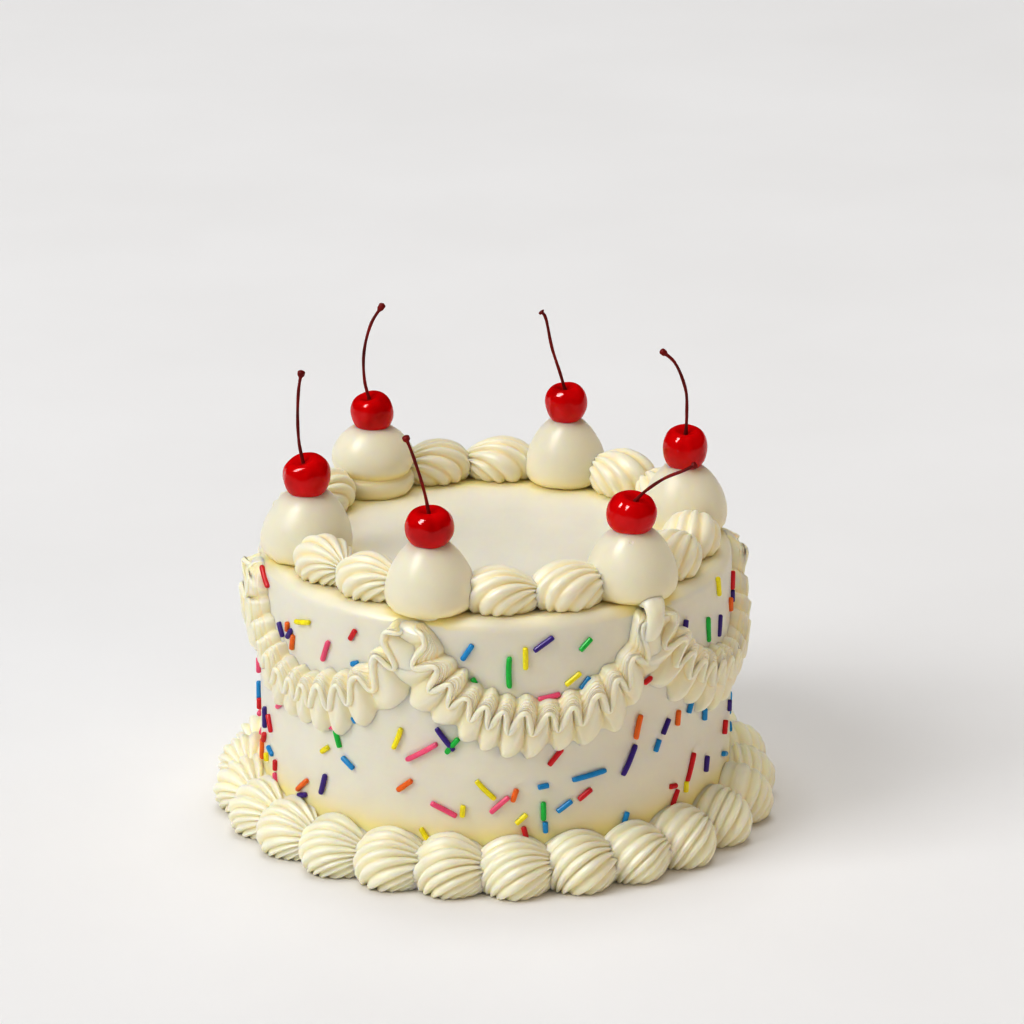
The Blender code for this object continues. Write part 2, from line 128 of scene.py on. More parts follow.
# sprinkles: colour, then angle, height, lean and length in degrees and mm, as they lie on the shown side
SPRINKLE_RADIUS = 0.00094
SHOWN_SPRINKLES = """
blue -86 41 88 7.5; orange -79 23.3 80 8.0; red -76.5 29 60 4.2; red -73 90.4 148 9.4; purple -75 37.3 88 7.8
yellow -74 23 100 3.0; red -70.6 37.4 124 6.4; blue -70.3 27.3 165 5.0; red -66.8 23.8 87 3.8
pink -66.7 18.1 100 5.6; pink -63.6 47.9 38 4.6; purple -62.2 76.3 125 5.4; orange -58.8 78.9 88 3.4
purple -57.9 76.8 51 4.6; orange -56.5 74.3 78 5.6; orange -53.1 23.3 42 8.2; purple -53.1 19.6 20 5.0
yellow -52.2 83.5 14 8.4; purple -45.2 27.1 73 8.0; yellow -44.4 40.2 38 4.2; pink -43.8 76.4 69 8.3
pink -41.6 49.6 8 9.3; green -40.2 45.7 109 6.2; blue -37.1 38 147 5.8; blue -35.9 55.9 132 6.2
red -35.3 85.2 60 4.4; yellow -23.4 50.9 69 8.4; red -22.9 78.5 53 5.5; orange -21.6 34.2 40 6.8
pink -17.3 47.2 33 13.0; yellow -16.6 17 122 5.5; purple -11.6 52.6 128 9.8; pink -12.0 26.9 155 9.8
green -9.9 50.4 53 7.0; red -85 36.9 85 4.0; yellow -7.5 26.8 85 4.2; blue -6.3 84.4 58 6.6
yellow -2.1 34.8 134 9.2; pink 1.2 29.4 43 8.4; green 3.5 77.3 90 11.0; orange 4.7 32.8 73 4.8
yellow 6.3 24 43 4.9; red 7.1 19.1 104 4.2; yellow 7.2 82.1 91 7.8; pink 12.8 67.8 10 7.6
green 11.5 26.4 91 6.6; blue 11.5 35.5 8 3.8; purple 11.5 86.9 35 8.0; blue 12 20.5 93 4.0
red 14.4 45.8 50 7.2; blue 16.6 27.5 34 6.2; yellow 18.6 73.4 36 6.6; blue 21.6 71.4 50 5.0
red 21.7 30.9 35 5.8; green 21.7 85.2 44 5.6; blue 22.8 37.6 8 12.4; blue 32.5 19 73 5.0
purple 33.5 40.3 63 11.4; orange 36.1 51.5 76 8.6; red 39.4 68 25 5.6; blue 42 42.6 66 4.4
purple 44.8 48.5 60 5.8; green -4.3 73 120 5.0; red 48.1 20.4 62 7.0; red 47.5 25.4 172 3.4
orange 49.1 49.9 84 5.4; purple 51.6 82.7 80 3.6; blue 53.8 51.6 66 4.0; red 54.3 29.4 66 10.2
yellow 52.5 23.0 88 4.0; blue 60.6 45.9 88 4.2; purple 61.9 26.9 80 5.6; green 62 76.4 94 9.0
yellow 67.8 89.3 102 7.2; purple 68.8 74.5 80 7.6; blue 74.7 23.8 160 5.0; red 74.9 33.7 72 5.0
purple 80.1 38.9 84 4.0; orange 80.3 76.4 96 5.0; red 84 83.4 80 6.5; purple 84 77.6 95 4.5
blue 88 74.6 120 5.0; green 42.7 65.5 170 3.0; blue -34.7 75.0 20 3.0; pink -85 51.3 92 5.5
"""
HIDDEN_SPRINKLES = 78
SPRINKLE_COLOURS = {
    "red": (0.74, 0.012, 0.022),
    "pink": (0.95, 0.120, 0.260),
    "orange": (0.95, 0.190, 0.008),
    "yellow": (1.0, 0.88, 0.012),
    "green": (0.012, 0.56, 0.070),
    "blue": (0.012, 0.320, 0.70),
    "purple": (0.060, 0.018, 0.270),
}

# icings: own colour, shown where light falls; colour of the painted crease glow, warm light painted into
# creases and where pieces meet; least and most roughness; and shine
ICINGS = {
    "smooth_icing": ((0.835, 0.808, 0.700), (0.985, 0.850, 0.430), (0.34, 0.50), 0.36),
    "piped_icing": ((0.875, 0.842, 0.700), (0.975, 0.830, 0.450), (0.32, 0.48), 0.36),
    # the foot shells' icing: the same buttercream painted lighter and yellower, as painted light on the foot
    # shells
    "foot_icing_painted_lighter": ((0.985, 0.922, 0.760), (0.990, 0.870, 0.540), (0.32, 0.48), 0.36),
    "dollop_icing": ((0.848, 0.816, 0.672), (0.985, 0.835, 0.410), (0.29, 0.43), 0.22),
}
TOOL_MARKS = (0.2, 0.2, 1.0)

# soft boxes: direction from the cake, distance, width and height, power and colour
LIGHTS = {
    "key": ((-0.68, -0.34, 0.60), 7.0, (3.4, 5.4), 265, (0.985, 0.995, 1.02)),
    "overhead": ((0.0, 0.20, 1.0), 5.0, (3.2, 3.2), 112, (1.0, 1.0, 1.0)),
    "front_fill": ((0.10, -1.0, 0.24), 3.0, (2.2, 1.0), 4.5, (1.0, 0.99, 0.96)),
    "warm_fill": ((0.84, -0.545, 0.14), 2.5, (1.2, 0.8), 6.5, (1.0, 0.58, 0.16)),
    "shine": ((-0.546, -0.309, 0.78), 5.0, (1.5, 3.0), 430, (1.0, 1.0, 1.0)),
}
WORLD_COLOUR = (1.0, 0.975, 0.93, 1)
WORLD_STRENGTH = 0.31
CAMERA_PLACE = (0.0059, -1.8701, 0.7589)
CAMERA_TILT_DEG = 70.74
CAMERA_LENS = 200.2


# shapes
def ring_place(radius, angle, height):
    """Points at this radius and angle round the cake's axis."""
    return np.stack([radius * np.sin(angle), -radius * np.cos(angle), height + 0.0 * angle], axis=-1)


def ripple(points, wavelength, seed):
    """Smooth noise, about -1 to 1, at each point."""
    draw = np.random.RandomState(seed)
    total = np.zeros(points.shape[:-1])
    for _ in range(8):
        way = draw.normal(size=3)
        way *= 2 * math.pi / wavelength * draw.uniform(0.6, 1.5) / np.linalg.norm(way)
        total += np.sin(points @ way + draw.uniform(0, 2 * math.pi))
    return total / 3.4


def smooth_line(points, count):
    """A smooth curve through the points, evenly sampled by their parameter."""
    points = np.asarray(points, float)
    padded = np.vstack([2 * points[0] - points[1], points, 2 * points[-1] - points[-2]])
    t = np.linspace(0, len(points) - 1 - 1e-9, count)
    i = t.astype(int)
    f = (t - i)[:, None]
    a, b, c, d = padded[i], padded[i + 1], padded[i + 2], padded[i + 3]
    return 0.5 * (2 * b + (c - a) * f + (2 * a - 5 * b + 4 * c - d) * f**2 + (3 * b - a - 3 * c + d) * f**3)


def solids_from(name, grids, material, painted_crease_glow=None):
    """Closed, smooth forms in one mesh, each from points in rows along it and columns round it.

    The last argument says, 0 to 1, how far down in a crease each point of a single form lies, and so how much
    painted crease glow it gets: warm light painted into the icing's colour.
    """
    verts, faces = [], []
    for grid in grids:
        rows, columns = grid.shape[:2]
        index = np.arange(rows * columns).reshape(rows, columns) + len(verts)
        a, b = index[:-1], index[1:]
        quads = np.stack([a, b, np.roll(b, -1, axis=1), np.roll(a, -1, axis=1)], axis=-1)
        faces += quads.reshape(-1, 4).tolist()
        verts += grid.reshape(-1, 3).tolist()
    mesh = bpy.data.meshes.new(name)
    mesh.from_pydata(verts, [], faces)
    bm = bmesh.new()
    bm.from_mesh(mesh)
    if painted_crease_glow is not None:
        layer = bm.verts.layers.float.new("painted_crease_glow")
        for vert, value in zip(bm.verts, np.broadcast_to(painted_crease_glow, grids[0].shape[:2]).ravel().tolist()):
            vert[layer] = value
    bmesh.ops.remove_doubles(bm, verts=bm.verts, dist=MERGE_DISTANCE)
    rim = [edge for edge in bm.edges if edge.is_boundary]
    if rim:
        bmesh.ops.holes_fill(bm, edges=rim)
    bm.normal_update()
    bmesh.ops.recalc_face_normals(bm, faces=bm.faces)
    for face in bm.faces:
        face.smooth = True
    bm.to_mesh(mesh)
    bm.free()
    mesh.materials.append(material)
    made = bpy.data.objects.new(name, mesh)
    bpy.context.scene.collection.objects.link(made)
    return made


def solid_from(name, grid, material, painted_crease_glow=None):
    return solids_from(name, [grid], material, painted_crease_glow)


def dress(piece, slot, *nodes):
    """The piece rides on the cake, and stands for the CAD nodes that it shows."""
    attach(piece, "root")
    if nodes:
        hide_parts(*nodes)
    return piece


def place_angle(i):
    return math.radians(FIRST_PLACE_DEG + 360 / PLACES * i + PLACE_SHIFT_DEG[i])


def swag_middle(i):
    return math.radians(FIRST_PLACE_DEG + 360 / PLACES * (i - 0.5) + SWAG_SHIFT_DEG)


# materials
def new_material(name):
    made = bpy.data.materials.new(name)
    made.use_nodes = True
    return made, made.node_tree.nodes, made.node_tree.links, made.node_tree.nodes["Principled BSDF"]


def noise_node(nodes, links, scale, detail=3.0, roughness=0.5, stretch=None):
    coordinates = nodes.new("ShaderNodeTexCoord")
    made = nodes.new("ShaderNodeTexNoise")
    made.inputs["Scale"].default_value = scale
    made.inputs["Detail"].default_value = detail
    made.inputs["Roughness"].default_value = roughness
    source = coordinates.outputs["Object"]
    if stretch:
        mapping = nodes.new("ShaderNodeMapping")
        mapping.inputs["Scale"].default_value = stretch
        links.new(source, mapping.inputs["Vector"])
        source = mapping.outputs["Vector"]
    links.new(source, made.inputs["Vector"])
    return made.outputs["Fac"]


def ramp_node(nodes, links, source, stops):
    made = nodes.new("ShaderNodeValToRGB")
    elements = made.color_ramp.elements
    while len(elements) < len(stops):
        elements.new(0.5)
    for element, (position, colour) in zip(elements, stops):
        element.position = position
        element.color = (*colour, 1.0)
    links.new(source, made.inputs["Fac"])
    return made.outputs["Color"]


def bump_node(nodes, links, height, distance, strength=1.0, after=None):
    made = nodes.new("ShaderNodeBump")
    made.inputs["Distance"].default_value = distance
    made.inputs["Strength"].default_value = strength
    links.new(height, made.inputs["Height"])
    if after:
        links.new(after, made.inputs["Normal"])
    return made.outputs["Normal"]


def vary_roughness(nodes, links, shader, source, low, high):
    made = nodes.new("ShaderNodeMapRange")
    made.inputs["From Min"].default_value = 0.3
    made.inputs["From Max"].default_value = 0.7
    made.inputs["To Min"].default_value = low
    made.inputs["To Max"].default_value = high
    links.new(source, made.inputs["Value"])
    links.new(made.outputs["Result"], shader.inputs["Roughness"])


def icing_material(name, spread=None, bubbles=False):
    """Buttercream: soft light under the skin, faint blotches, tool marks and a few burst bubbles.

    Its creases and the places where pieces meet are painted yellower and lighter: painted light, for the
    light there that has passed through more icing.
    """
    light, painted_crease_glow, roughness, shine = ICINGS[name]
    made, nodes, links, shader = new_material(name)
    blotches = noise_node(nodes, links, 38, 4)
    dull = tuple(0.975 * value for value in light)
    # painted crease glow: the icing's colour is mixed towards the warm crease colour as far as each point's
    # painted crease glow value says
    crease = nodes.new("ShaderNodeAttribute")
    crease.attribute_name = "painted_crease_glow"
    mix = nodes.new("ShaderNodeMix")
    mix.data_type = "RGBA"
    links.new(crease.outputs["Fac"], mix.inputs[0])
    links.new(ramp_node(nodes, links, blotches, ((0.35, dull), (0.65, light))), mix.inputs[6])
    mix.inputs[7].default_value = (*painted_crease_glow, 1)
    links.new(mix.outputs[2], shader.inputs["Base Color"])
    vary_roughness(nodes, links, shader, noise_node(nodes, links, 120, 2), *roughness)
    shader.inputs["Subsurface Weight"].default_value = 0.75
    shader.inputs["Subsurface Radius"].default_value = (1.0, 0.82, 0.40)
    shader.inputs["Subsurface Scale"].default_value = 0.0030
    shader.inputs["Specular IOR Level"].default_value = shine
    skin = bump_node(nodes, links, noise_node(nodes, links, 420, 2, 0.5), 0.00004)
    links.new(skin, shader.inputs["Normal"])
    if spread:
        smears = bump_node(nodes, links, noise_node(nodes, links, 130, 3, 0.45, spread), 0.00030, 1.0, skin)
        links.new(smears, shader.inputs["Normal"])
    if not bubbles:
        return made
    cells = nodes.new("ShaderNodeTexVoronoi")
    cells.inputs["Scale"].default_value = 95
    coordinates = nodes.new("ShaderNodeTexCoord")
    links.new(coordinates.outputs["Object"], cells.inputs["Vector"])
    pits = ramp_node(nodes, links, cells.outputs["Distance"], ((0.05, (0, 0, 0)), (0.085, (1, 1, 1))))
    links.new(bump_node(nodes, links, pits, 0.00022, 0.8, skin), shader.inputs["Normal"])
    return made


def sprinkle_material(name, colour):
    made, nodes, links, shader = new_material(name)
    dark = tuple(0.82 * value for value in colour)
    grain = noise_node(nodes, links, 420, 3)
    links.new(ramp_node(nodes, links, grain, ((0.3, dark), (0.7, colour))), shader.inputs["Base Color"])
    vary_roughness(nodes, links, shader, grain, 0.30, 0.46)
    shader.inputs["Subsurface Weight"].default_value = 0.12
    shader.inputs["Subsurface Radius"].default_value = (0.5, 0.5, 0.5)
    shader.inputs["Subsurface Scale"].default_value = 0.001
    links.new(bump_node(nodes, links, noise_node(nodes, links, 1500, 2), 0.00005), shader.inputs["Normal"])
    return made


def cherry_material():
    """Glazed cherry: clear red skin, darker where it is thick, over soft lumpy flesh."""
    made, nodes, links, shader = new_material("glazed_cherry")
    flesh = noise_node(nodes, links, 110, 3)
    stops = ((0.30, (0.48, 0.0006, 0.0020)), (0.5, (0.62, 0.0012, 0.0030)), (0.72, (0.72, 0.0030, 0.0050)))
    links.new(ramp_node(nodes, links, flesh, stops), shader.inputs["Base Color"])
    vary_roughness(nodes, links, shader, noise_node(nodes, links, 300, 2), 0.06, 0.14)
    shader.inputs["Subsurface Weight"].default_value = 0.40
    shader.inputs["Subsurface Radius"].default_value = (1.0, 0.04, 0.03)
    shader.inputs["Subsurface Scale"].default_value = 0.0022
    shader.inputs["Specular IOR Level"].default_value = 0.22
    shader.inputs["Coat Weight"].default_value = 0.13
    shader.inputs["Coat Roughness"].default_value = 0.03
    wrinkles = bump_node(nodes, links, noise_node(nodes, links, 190, 2, 0.4), 0.00030, 0.7)
    links.new(wrinkles, shader.inputs["Normal"])
    return made


def stem_material():
    made, nodes, links, shader = new_material("cherry_stem")
    grain = noise_node(nodes, links, 160, 3, 0.6)
    stops = ((0.25, (0.080, 0.003, 0.003)), (0.55, (0.210, 0.006, 0.005)), (0.8, (0.38, 0.014, 0.010)))
    links.new(ramp_node(nodes, links, grain, stops), shader.inputs["Base Color"])
    vary_roughness(nodes, links, shader, grain, 0.40, 0.6)
    shader.inputs["Specular IOR Level"].default_value = 0.2
    links.new(bump_node(nodes, links, noise_node(nodes, links, 700, 2), 0.00005), shader.inputs["Normal"])
    return made


# the cake under its decorations
def make_cake(material):
    edge = CAKE_RADIUS - TOP_EDGE_RADIUS
    profile = [(r, CAKE_HEIGHT) for r in np.linspace(0.0, edge, 26)[:-1]]
    for turn in np.linspace(math.pi / 2, 0, 9):
        reach = edge + TOP_EDGE_RADIUS * math.cos(turn)
        profile.append((reach, CAKE_HEIGHT - TOP_EDGE_RADIUS * (1 - math.sin(turn))))
    profile += [(CAKE_RADIUS, z) for z in np.linspace(CAKE_HEIGHT - TOP_EDGE_RADIUS, 0.001, 46)[1:]]
    profile += [(CAKE_RADIUS - 0.001, 0.0), (0.0, 0.0)]
    radius, height = np.array(profile).T
    angle = np.linspace(0, 2 * math.pi, 288, endpoint=False)
    grid = ring_place(radius[:, None], angle[None, :], height[:, None])
    swell = ripple(grid, 0.045, 3) + 0.5 * ripple(grid, 0.018, 4)
    side = np.clip((radius - 0.06) / 0.0225, 0, 1)[:, None] * np.clip(height / 0.01, 0, 1)[:, None]
    flat = 1 + 0.00028 / CAKE_RADIUS * swell * side
    grid[..., 0] *= flat
    grid[..., 1] *= flat
    top = np.clip((height - 0.085) / 0.01, 0, 1)[:, None] * np.clip(radius / 0.01, 0, 1)[:, None]
    grid[..., 2] += 0.00022 * ripple(grid, 0.05, 5) * top - 0.00022 * top
    # painted crease glow, warm light painted into the colour: low on the side by the foot shells, on the top
    # round the ring of top shells, more so on its inner side, and round each dollop
    painted_crease_glow = np.exp(-np.maximum(grid[..., 2] - 0.017, 0) / 0.0045)
    on_top = grid[..., 2] > CAKE_HEIGHT - 0.003
    beyond = np.hypot(grid[..., 0], grid[..., 1]) - TOP_SHELL_RADIUS
    from_shells = np.maximum(np.abs(beyond) - 0.0085, 0)
    painted_crease_glow = np.maximum(painted_crease_glow, np.where(beyond < 0, 0.95, 0.45) * on_top * np.exp(-from_shells / 0.0028))
    for i in range(PLACES):
        centre = ring_place(PLACE_RADIUS[i], np.array(place_angle(i)), CAKE_HEIGHT)
        gap = np.maximum(np.linalg.norm(grid - centre, axis=-1) - 0.80 * DOLLOP_RADIUS[i], 0)
        painted_crease_glow = np.maximum(painted_crease_glow, on_top * np.exp(-gap / 0.0040))
    return dress(solid_from("icing_body", grid, material, painted_crease_glow), "icing", "cake")


# sprinkles
def sprinkle_grid(angle, height, lean, length, bend):
    """One sprinkle lying in the side: a slightly bent rod with rounded ends."""
    along = np.array([-0.5, -0.5, -0.46, -0.4, -0.2, 0.0, 0.2, 0.4, 0.46, 0.5, 0.5]) * length
    thick = np.array([0.0, 0.70, 0.93, 1.0, 1.0, 1.0, 1.0, 1.0, 0.93, 0.70, 0.0]) * SPRINKLE_RADIUS
    side = bend * (1 - (2 * along / length) ** 2)
    around = np.linspace(0, 2 * math.pi, 10, endpoint=False)
    u = along[:, None] * math.cos(lean) - (side[:, None] + thick[:, None] * np.cos(around)) * math.sin(lean)
    w = along[:, None] * math.sin(lean) + (side[:, None] + thick[:, None] * np.cos(around)) * math.cos(lean)
    out = CAKE_RADIUS + 0.00055 + thick[:, None] * np.sin(around)
    return ring_place(out, angle + u / CAKE_RADIUS, height + w)


def swag_line(middle, count):
    """Angle and height along a swag, evenly spaced, with the direction of travel."""
    sweep = np.linspace(-math.pi / 2, math.pi / 2, 1201)
    across = np.sign(sweep) * np.abs(np.sin(sweep)) ** (2 / SWAG_ROUNDNESS)
    fall = np.abs(np.cos(sweep)) ** (2 / SWAG_ROUNDNESS)
    x = (middle + math.radians(SWAG_HALF_ANGLE_DEG) * across) * CAKE_RADIUS
    y = SWAG_TOP - SWAG_DROP * fall
    run = np.concatenate([[0], np.cumsum(np.hypot(np.diff(x), np.diff(y)))])
    wanted = np.linspace(0, run[-1], count)
    x, y = np.interp(wanted, run, x), np.interp(wanted, run, y)
    dx, dy = np.gradient(x), np.gradient(y)
    size = np.hypot(dx, dy)
    return x, y, dx / size, dy / size


def hidden_sprinkles():
    """Seeded places on the side that the front view doesn't show, clear of swags and of each other."""
    draw = random.Random(11)
    lines = [swag_line(swag_middle(i) + turn, 90) for i in range(PLACES) for turn in (0, 2 * math.pi)]
    route_x = np.concatenate([line[0] for line in lines])
    route_y = np.concatenate([line[1] for line in lines])
    taken = []
    for _ in range(4000):
        angle = math.radians(draw.uniform(92, 268))
        height = draw.uniform(0.018, 0.0885)
        length = draw.choice((0.0042, 0.0055, 0.0065, 0.008, 0.0095, 0.0115))
        colour = draw.choice(list(SPRINKLE_COLOURS))
        lean = draw.uniform(0, math.pi)
        if np.min(np.hypot(route_x - angle * CAKE_RADIUS, route_y - height)) < 0.0105 + length * 0.3:
            continue
        spot = (angle * CAKE_RADIUS, height)
        if any(math.dist(spot, other) < 0.0072 for other in taken):
            continue
        taken.append(spot)
        yield colour, angle, height, lean, length
        if len(taken) == HIDDEN_SPRINKLES:
            return


def make_sprinkles():
    rows = []
    for words in (entry.split() for entry in SHOWN_SPRINKLES.replace("\n", ";").split(";")):
        if words:
            angle, height, lean, length = (float(word) for word in words[1:])
            rows.append((words[0], math.radians(angle), height / 1000, math.radians(lean), length / 1000))
    rows += list(hidden_sprinkles())
    draw = random.Random(5)
    batches = {colour: [] for colour in SPRINKLE_COLOURS}
    for colour, angle, height, lean, length in rows:
        bend = draw.uniform(-1, 1) * 0.05 * max(0.0, length - 0.005)
        batches[colour].append(sprinkle_grid(angle, height, lean, length, bend))
    for colour, grids in batches.items():
        material = sprinkle_material(f"sprinkle_{colour}", SPRINKLE_COLOURS[colour])
        dress(solids_from(f"sprinkles_{colour}", grids, material), "icing")


# dollops
def make_dollop(i, material):
    outline = COLLAR_OUTLINE if i == COLLARED_DOLLOP else DOLLOP_OUTLINE
    line = smooth_line(outline, 58)
    radius = line[:, 0] * DOLLOP_RADIUS[i]
    radius[0] = 0.0
    height = line[:, 1] * DOLLOP_HEIGHT
    around = np.linspace(0, 2 * math.pi, 88, endpoint=False)
    grid = ring_place(radius[:, None], around[None, :], height[:, None])
    centre = np.array([0, 0, DOLLOP_HEIGHT * 0.4])
    swell = 1 + 0.022 * ripple(grid + i, 0.03, 20 + i) * np.clip(grid[..., 2:] / 0.004, 0, 1)[..., 0]
    grid = centre + (grid - centre) * swell[..., None]
    foot = np.clip(1 - height / 0.004, 0, 1)[:, None] * 0.00045 * ripple(grid, 0.008, 40 + i)
    grid[..., 0] += foot * np.sin(around)
    grid[..., 1] -= foot * np.cos(around)
    grid[..., 2] = np.maximum(grid[..., 2], 0) - 0.0003
    grid[0] = grid[0].mean(axis=0)
    grid += ring_place(PLACE_RADIUS[i], np.array(place_angle(i)), CAKE_HEIGHT)
    # painted crease glow at the dollop's foot, and in a band under the collared dollop's collar
    painted_crease_glow = np.exp(-height / 0.0030)[:, None]
    if i == COLLARED_DOLLOP:
        painted_crease_glow = painted_crease_glow + 0.8 * np.exp(-(((height / DOLLOP_HEIGHT - 0.33) / 0.06) ** 2))[:, None]
    dress(solid_from(f"dollop_icing_{i + 1}", grid, material, painted_crease_glow), "piping", f"dollop_{i + 1:02d}")


def make_dab(material):
    """The small flat dab of icing squeezed out under the front left dollop."""
    rows, around = np.linspace(0, math.pi, 25), np.linspace(0, 2 * math.pi, 48, endpoint=False)
    across = np.sin(rows)[:, None] * np.cos(around) * DAB_SIZE[0]
    inward = np.sin(rows)[:, None] * np.sin(around) * DAB_SIZE[1]
    rise = np.cos(rows)[:, None] * DAB_SIZE[2] + 0 * around
    angle = math.radians(DAB_DEG) + across / DAB_RADIUS
    grid = ring_place(DAB_RADIUS + inward, angle, CAKE_HEIGHT - 0.0001 + rise)
    grid = grid + 0.00012 * ripple(grid, 0.004, 91)[..., None]
    # painted crease glow on the underside of the dab, where it meets the cake
    painted_crease_glow = np.exp(-(rise + DAB_SIZE[2]) / 0.0008)
    dress(solid_from("icing_dab", grid, material, painted_crease_glow), "piping")


# cherries
def make_cherry(i, flesh_material, stalk_material):
    """A cherry sunk in its dollop: broad shoulders round a dimple, with a faint cleft down from it."""
    radius, flatness = CHERRY_RADIUS[i], CHERRY_FLATNESS[i]
    rows = np.linspace(0, math.pi, 61)
    around = np.linspace(0, 2 * math.pi, 84, endpoint=False)
    reach = np.sin(rows) ** 0.86
    rise = np.sign(np.cos(rows)) * np.abs(np.cos(rows)) ** 0.92
    grid = np.stack([
        reach[:, None] * np.cos(around),
        reach[:, None] * np.sin(around),
        rise[:, None] + 0 * around,
    ], axis=-1)
    lumps = 0.030 * ripple(grid + 7 * i, 1.9, 60 + i) + 0.010 * ripple(grid, 0.8, 70 + i)
    turn = np.angle(np.exp(1j * (around + math.pi / 2 + 0.5 - 0.9 * math.sin(2.7 * i))))
    fading = np.sin(rows) * np.clip((2.0 - rows) / 0.8, 0, 1)
    cleft = 0.050 * np.exp(-((turn / 0.20) ** 2)) * fading[:, None]
    dimple = 0.36 * np.exp(-((reach / 0.40) ** 2)) * (rows < math.pi / 2)
    grid = grid * (1 + lumps - cleft)[..., None]
    grid[..., 2] -= dimple[:, None]
    grid[..., 2] = np.where(grid[..., 2] < -0.86, -0.86 + 0.35 * (grid[..., 2] + 0.86), grid[..., 2])
    grid *= np.array([radius, radius, radius * flatness])
    grid[0] = grid[0].mean(axis=0)
    grid[-1] = grid[-1].mean(axis=0)
    to_right, to_front = np.radians(CHERRY_LEAN_DEG[i])
    lean = np.array(Matrix.Rotation(to_right, 3, "Y") @ Matrix.Rotation(to_front, 3, "X"))
    grid = grid @ lean.T
    centre = ring_place(PLACE_RADIUS[i], np.array(place_angle(i)), CHERRY_BOTTOM + 0.9 * radius * flatness)
    node = f"cherry_{i + 1:02d}"
    dress(solid_from(f"cherry_flesh_{i + 1}", grid + centre, flesh_material), "cherry", node)
    line = smooth_line(np.array(STEM_ROUTES[i]) / 1000, 80)
    foot = centre + lean @ np.array([0, 0, radius * flatness * 0.58])
    share = np.linspace(0, 1, len(line))
    knob = 1.55 * np.exp(-(((0.962 - share) / 0.042) ** 2))
    thick = STEM_RADIUS * (1 + 0.5 * np.exp(-share / 0.06) + knob)
    thick *= 1 + 0.07 * np.sin(23 * share + i) + 0.25 * np.exp(-(1 - share) / 0.08) * np.sin(110 * share)
    thick *= np.sqrt(np.clip(1 - (np.clip(share - 0.955, 0, 1) / 0.045) ** 2, 0, 1))
    thick[0] = thick[-1] = 0.0
    along = np.gradient(line, axis=0)
    along /= np.linalg.norm(along, axis=1, keepdims=True)
    side = np.cross(along, np.array([0.0, 1.0, 0.0]))
    side /= np.linalg.norm(side, axis=1, keepdims=True)
    up = np.cross(side, along)
    turn = np.linspace(0, 2 * math.pi, 14, endpoint=False)[None, :, None]
    tube = line[:, None] + thick[:, None, None] * (np.cos(turn) * side[:, None] + np.sin(turn) * up[:, None])
    dress(solid_from(f"cherry_stem_{i + 1}", tube + foot, stalk_material), "cherry", node)


# piped shells
def shell_grid(form, seed):
    """A fat shell, tail towards +X: ridges fan up from under its head and meet again at the tail.

    It starts as a ball. Each ridge lies on a circle through a point under the head and one at the tail.
    Also gives, 0 to 1, how much painted crease glow, warm light painted into the colour, each point gets:
    most in the grooves, near the base and at the head and tail.
    """
    draw = random.Random(seed)
    tail = np.array([math.cos(0.06), 0.0, math.sin(0.06)])
    head_turn = math.radians(form["head_deg"]) + draw.uniform(-0.06, 0.06)
    head = np.array([math.sin(head_turn), 0.0, -math.cos(head_turn)])
    middle = (tail + head) / 2
    offset = np.linalg.norm(middle)
    half = np.linalg.norm(tail - head) / 2
    e1 = (tail - head) / (2 * half)
    e2 = middle / offset
    e3 = np.array([0.0, 1.0, 0.0])
    phi = np.linspace(0, 2 * math.pi, form["ridges"] * SAMPLES_PER_RIDGE, endpoint=False)
    share = np.linspace(-1, 1, 35)
    share = np.sin(share * math.pi / 2 * 0.9) / math.sin(math.pi / 2 * 0.9)
    q = -offset * np.cos(phi)
    rho = np.sqrt(1 - (offset * np.sin(phi)) ** 2)
    reach = np.arctan2(half, -q) * share[:, None]
    normal = np.cos(phi)[:, None] * e2 + np.sin(phi)[:, None] * e3
    away = q + rho * np.cos(reach)
    ball = middle + (rho * np.sin(reach))[..., None] * e1 + away[..., None] * normal
    warp = phi + 0.06 * np.sin(3 * phi + draw.uniform(0, 6)) + 0.03 * np.sin(7 * phi + draw.uniform(0, 6))
    grooves = 1 - np.abs(np.sin(form["ridges"] * warp / 2)) ** 0.95
    fade = np.clip((1 - np.abs(share)) / 0.20, 0, 1)[:, None] ** 0.6
    depth = GROOVE_DEPTH * (1 + 0.20 * np.sin(2 * phi + draw.uniform(0, 6)))
    ball = ball * (1 - depth * grooves * fade + 0.012 * ripple(ball + seed, 1.6, seed))[..., None]
    x, y, z = ball[..., 0], ball[..., 1], ball[..., 2]
    thin = 1 - 0.22 * np.clip(x, 0, 1) ** 1.5 - 0.04 * np.clip(-x, 0, 1)
    x = x * form["length"] / 2 * (1 + 0.12 * np.clip(x, 0, 1))
    y = y * form["width"] / 2 * thin
    centre = form["middle"] * form["height"]
    z = centre + z * (form["height"] - centre) * np.where(z > 0, thin, 1.0)
    grid = np.stack([x, y, np.maximum(z, 0)], axis=-1)
    grid *= draw.uniform(0.96, 1.04)
    grid[0] = grid[0].mean(axis=0)
    grid[-1] = grid[-1].mean(axis=0)
    # painted crease glow: in the grooves, near the base and at the two ends
    low = np.exp(-grid[..., 2] / 0.0018)
    return grid, np.clip(0.85 * grooves**1.6 * fade + 0.6 * low + 0.8 * (1 - fade), 0, 1)


